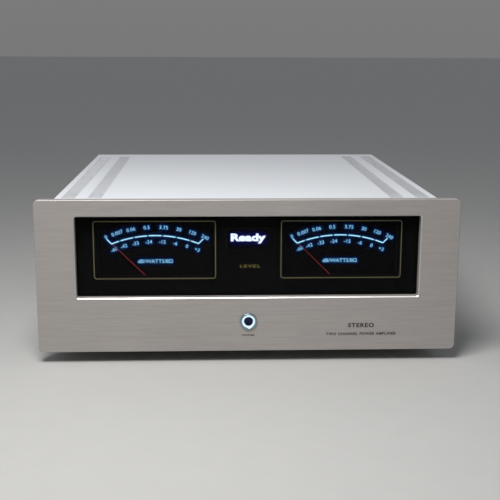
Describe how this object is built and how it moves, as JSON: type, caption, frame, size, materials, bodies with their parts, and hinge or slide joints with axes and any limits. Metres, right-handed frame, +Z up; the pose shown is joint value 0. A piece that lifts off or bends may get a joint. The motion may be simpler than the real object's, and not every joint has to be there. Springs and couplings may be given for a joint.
{
  "type": "power amplifier",
  "caption": "Stereo class A power amplifier with needle meters behind a dark window, finned sides, a vented cover and loudspeaker terminals at the rear",
  "frame": {"origin": "on the floor under the middle of the overall box, feet at z 0", "axes": "+Z up, front panel facing -Y, +X to the right seen from the front"},
  "size_m": [0.43, 0.502, 0.17],
  "materials": {
    "grey_panel_aluminium": "fine horizontal brushing, warm grey anodised",
    "silver_anodised": "bead-blasted and clear anodised, satin",
    "sink_aluminium": "extruded and anodised, satin",
    "foot_aluminium": "turned, satin, with a rubber ring underneath",
    "black_steel": "matt black powder coat",
    "plated_steel": "zinc plated",
    "dark_glass": "polished, dark tinted, with a fine printed frame round each meter",
    "black_plastic": "fine moulded texture",
    "black_gloss_plastic": "moulded, semi-gloss",
    "red_plastic": "moulded, semi-gloss",
    "dial_black": "matt black with translucent cyan markings lit from behind",
    "needle_red": "matt red",
    "screen_glass": "dark display glass",
    "lit_diffuser": "translucent, lit from behind in cool white",
    "button_blue_black": "blue-black anodised, satin",
    "polished_steel": "polished stainless steel",
    "black_rubber": "matt",
    "winding_tape": "amber polyester tape over the windings",
    "circuit_board": "green solder mask",
    "capacitor_sleeve": "shrunk dark sleeve",
    "lead_jacket": "smooth black jacket",
    "gold_plate": "polished gold plate"
  },
  "bodies": {
    "chassis": {"front_panel": "grey_panel_aluminium", "front_subframe": "black_steel", "window_glass": "dark_glass", "top_cover": "silver_anodised", "bottom_plate": "plated_steel", "rear_panel": "silver_anodised", "heatsink_left": "sink_aluminium", "heatsink_right": "sink_aluminium", "foot_front_left": "foot_aluminium", "foot_front_right": "foot_aluminium", "foot_rear_left": "foot_aluminium", "foot_rear_right": "foot_aluminium", "meter_bracket": "black_steel", "meter_left_case": "black_plastic", "meter_left_dial": "dial_black", "meter_left_mask": "black_plastic", "meter_left_movement": "plated_steel", "meter_right_case": "black_plastic", "meter_right_dial": "dial_black", "meter_right_mask": "black_plastic", "meter_right_movement": "plated_steel", "display_screen": "screen_glass", "display_board": "circuit_board", "button_housing": "polished_steel", "button_light_ring": "lit_diffuser", "button_nut": "plated_steel", "transformer_pad": "black_rubber", "transformer_winding": "winding_tape", "transformer_plate": "plated_steel", "transformer_bolt": "plated_steel", "capacitor_board": "circuit_board", "reservoir_capacitor_1": "capacitor_sleeve", "reservoir_capacitor_2": "capacitor_sleeve", "reservoir_capacitor_3": "capacitor_sleeve", "reservoir_capacitor_4": "capacitor_sleeve", "rectifier_left": "plated_steel", "rectifier_right": "plated_steel", "amplifier_board_left": "circuit_board", "amplifier_board_right": "circuit_board", "protection_board": "circuit_board", "switch_lead": "lead_jacket", "phono_left_socket": "gold_plate", "phono_right_socket": "gold_plate", "xlr_left_socket": "black_plastic", "xlr_right_socket": "black_plastic", "terminal_left_minus_post": "gold_plate", "terminal_left_plus_post": "gold_plate", "terminal_right_minus_post": "gold_plate", "terminal_right_plus_post": "gold_plate", "mains_inlet": "black_plastic"},
    "power_button": {"button_cap": "button_blue_black"},
    "left_needle": {"meter_left_needle": "needle_red"},
    "right_needle": {"meter_right_needle": "needle_red"},
    "fuse_drawer": {"fuse_drawer": "black_plastic"},
    "left_latch": {"xlr_left_latch": "polished_steel"},
    "right_latch": {"xlr_right_latch": "polished_steel"},
    "left_minus_cap": {"terminal_left_minus_cap": "black_gloss_plastic"},
    "left_plus_cap": {"terminal_left_plus_cap": "red_plastic"},
    "right_minus_cap": {"terminal_right_minus_cap": "black_gloss_plastic"},
    "right_plus_cap": {"terminal_right_plus_cap": "red_plastic"}
  },
  "joints": [
    {"name": "power_button_press", "type": "slide", "parent": "chassis", "child": "power_button", "axis": [0, 1, 0], "range_m": [0, 0.002], "stiffness_N_per_m": 500, "springref_m": -0.004},
    {"name": "left_needle_swing", "type": "hinge", "parent": "chassis", "child": "left_needle", "pos_m": [-0.0955, -0.23245, 0.0784], "axis": [0, 1, 0], "range_deg": [0, 90], "stiffness_Nm_per_rad": 0.002, "springref_deg": -28.65},
    {"name": "right_needle_swing", "type": "hinge", "parent": "chassis", "child": "right_needle", "pos_m": [0.0955, -0.23245, 0.0784], "axis": [0, 1, 0], "range_deg": [0, 90], "stiffness_Nm_per_rad": 0.002, "springref_deg": -28.65},
    {"name": "left_minus_cap_turn", "type": "hinge", "parent": "chassis", "child": "left_minus_cap", "pos_m": [-0.096, 0.23705, 0.062], "axis": [0, 1, 0], "range_deg": [0, 1440]},
    {"name": "left_plus_cap_turn", "type": "hinge", "parent": "chassis", "child": "left_plus_cap", "pos_m": [-0.134, 0.23705, 0.062], "axis": [0, 1, 0], "range_deg": [0, 1440]},
    {"name": "right_minus_cap_turn", "type": "hinge", "parent": "chassis", "child": "right_minus_cap", "pos_m": [0.096, 0.23705, 0.062], "axis": [0, 1, 0], "range_deg": [0, 1440]},
    {"name": "right_plus_cap_turn", "type": "hinge", "parent": "chassis", "child": "right_plus_cap", "pos_m": [0.134, 0.23705, 0.062], "axis": [0, 1, 0], "range_deg": [0, 1440]},
    {"name": "fuse_drawer_slide", "type": "slide", "parent": "chassis", "child": "fuse_drawer", "axis": [0, 1, 0], "range_m": [0, 0.018]},
    {"name": "left_latch_press", "type": "slide", "parent": "chassis", "child": "left_latch", "axis": [0, -1, 0], "range_m": [0, 0.0012], "stiffness_N_per_m": 800, "springref_m": -0.002},
    {"name": "right_latch_press", "type": "slide", "parent": "chassis", "child": "right_latch", "axis": [0, -1, 0], "range_m": [0, 0.0012], "stiffness_N_per_m": 800, "springref_m": -0.002}
  ]
}
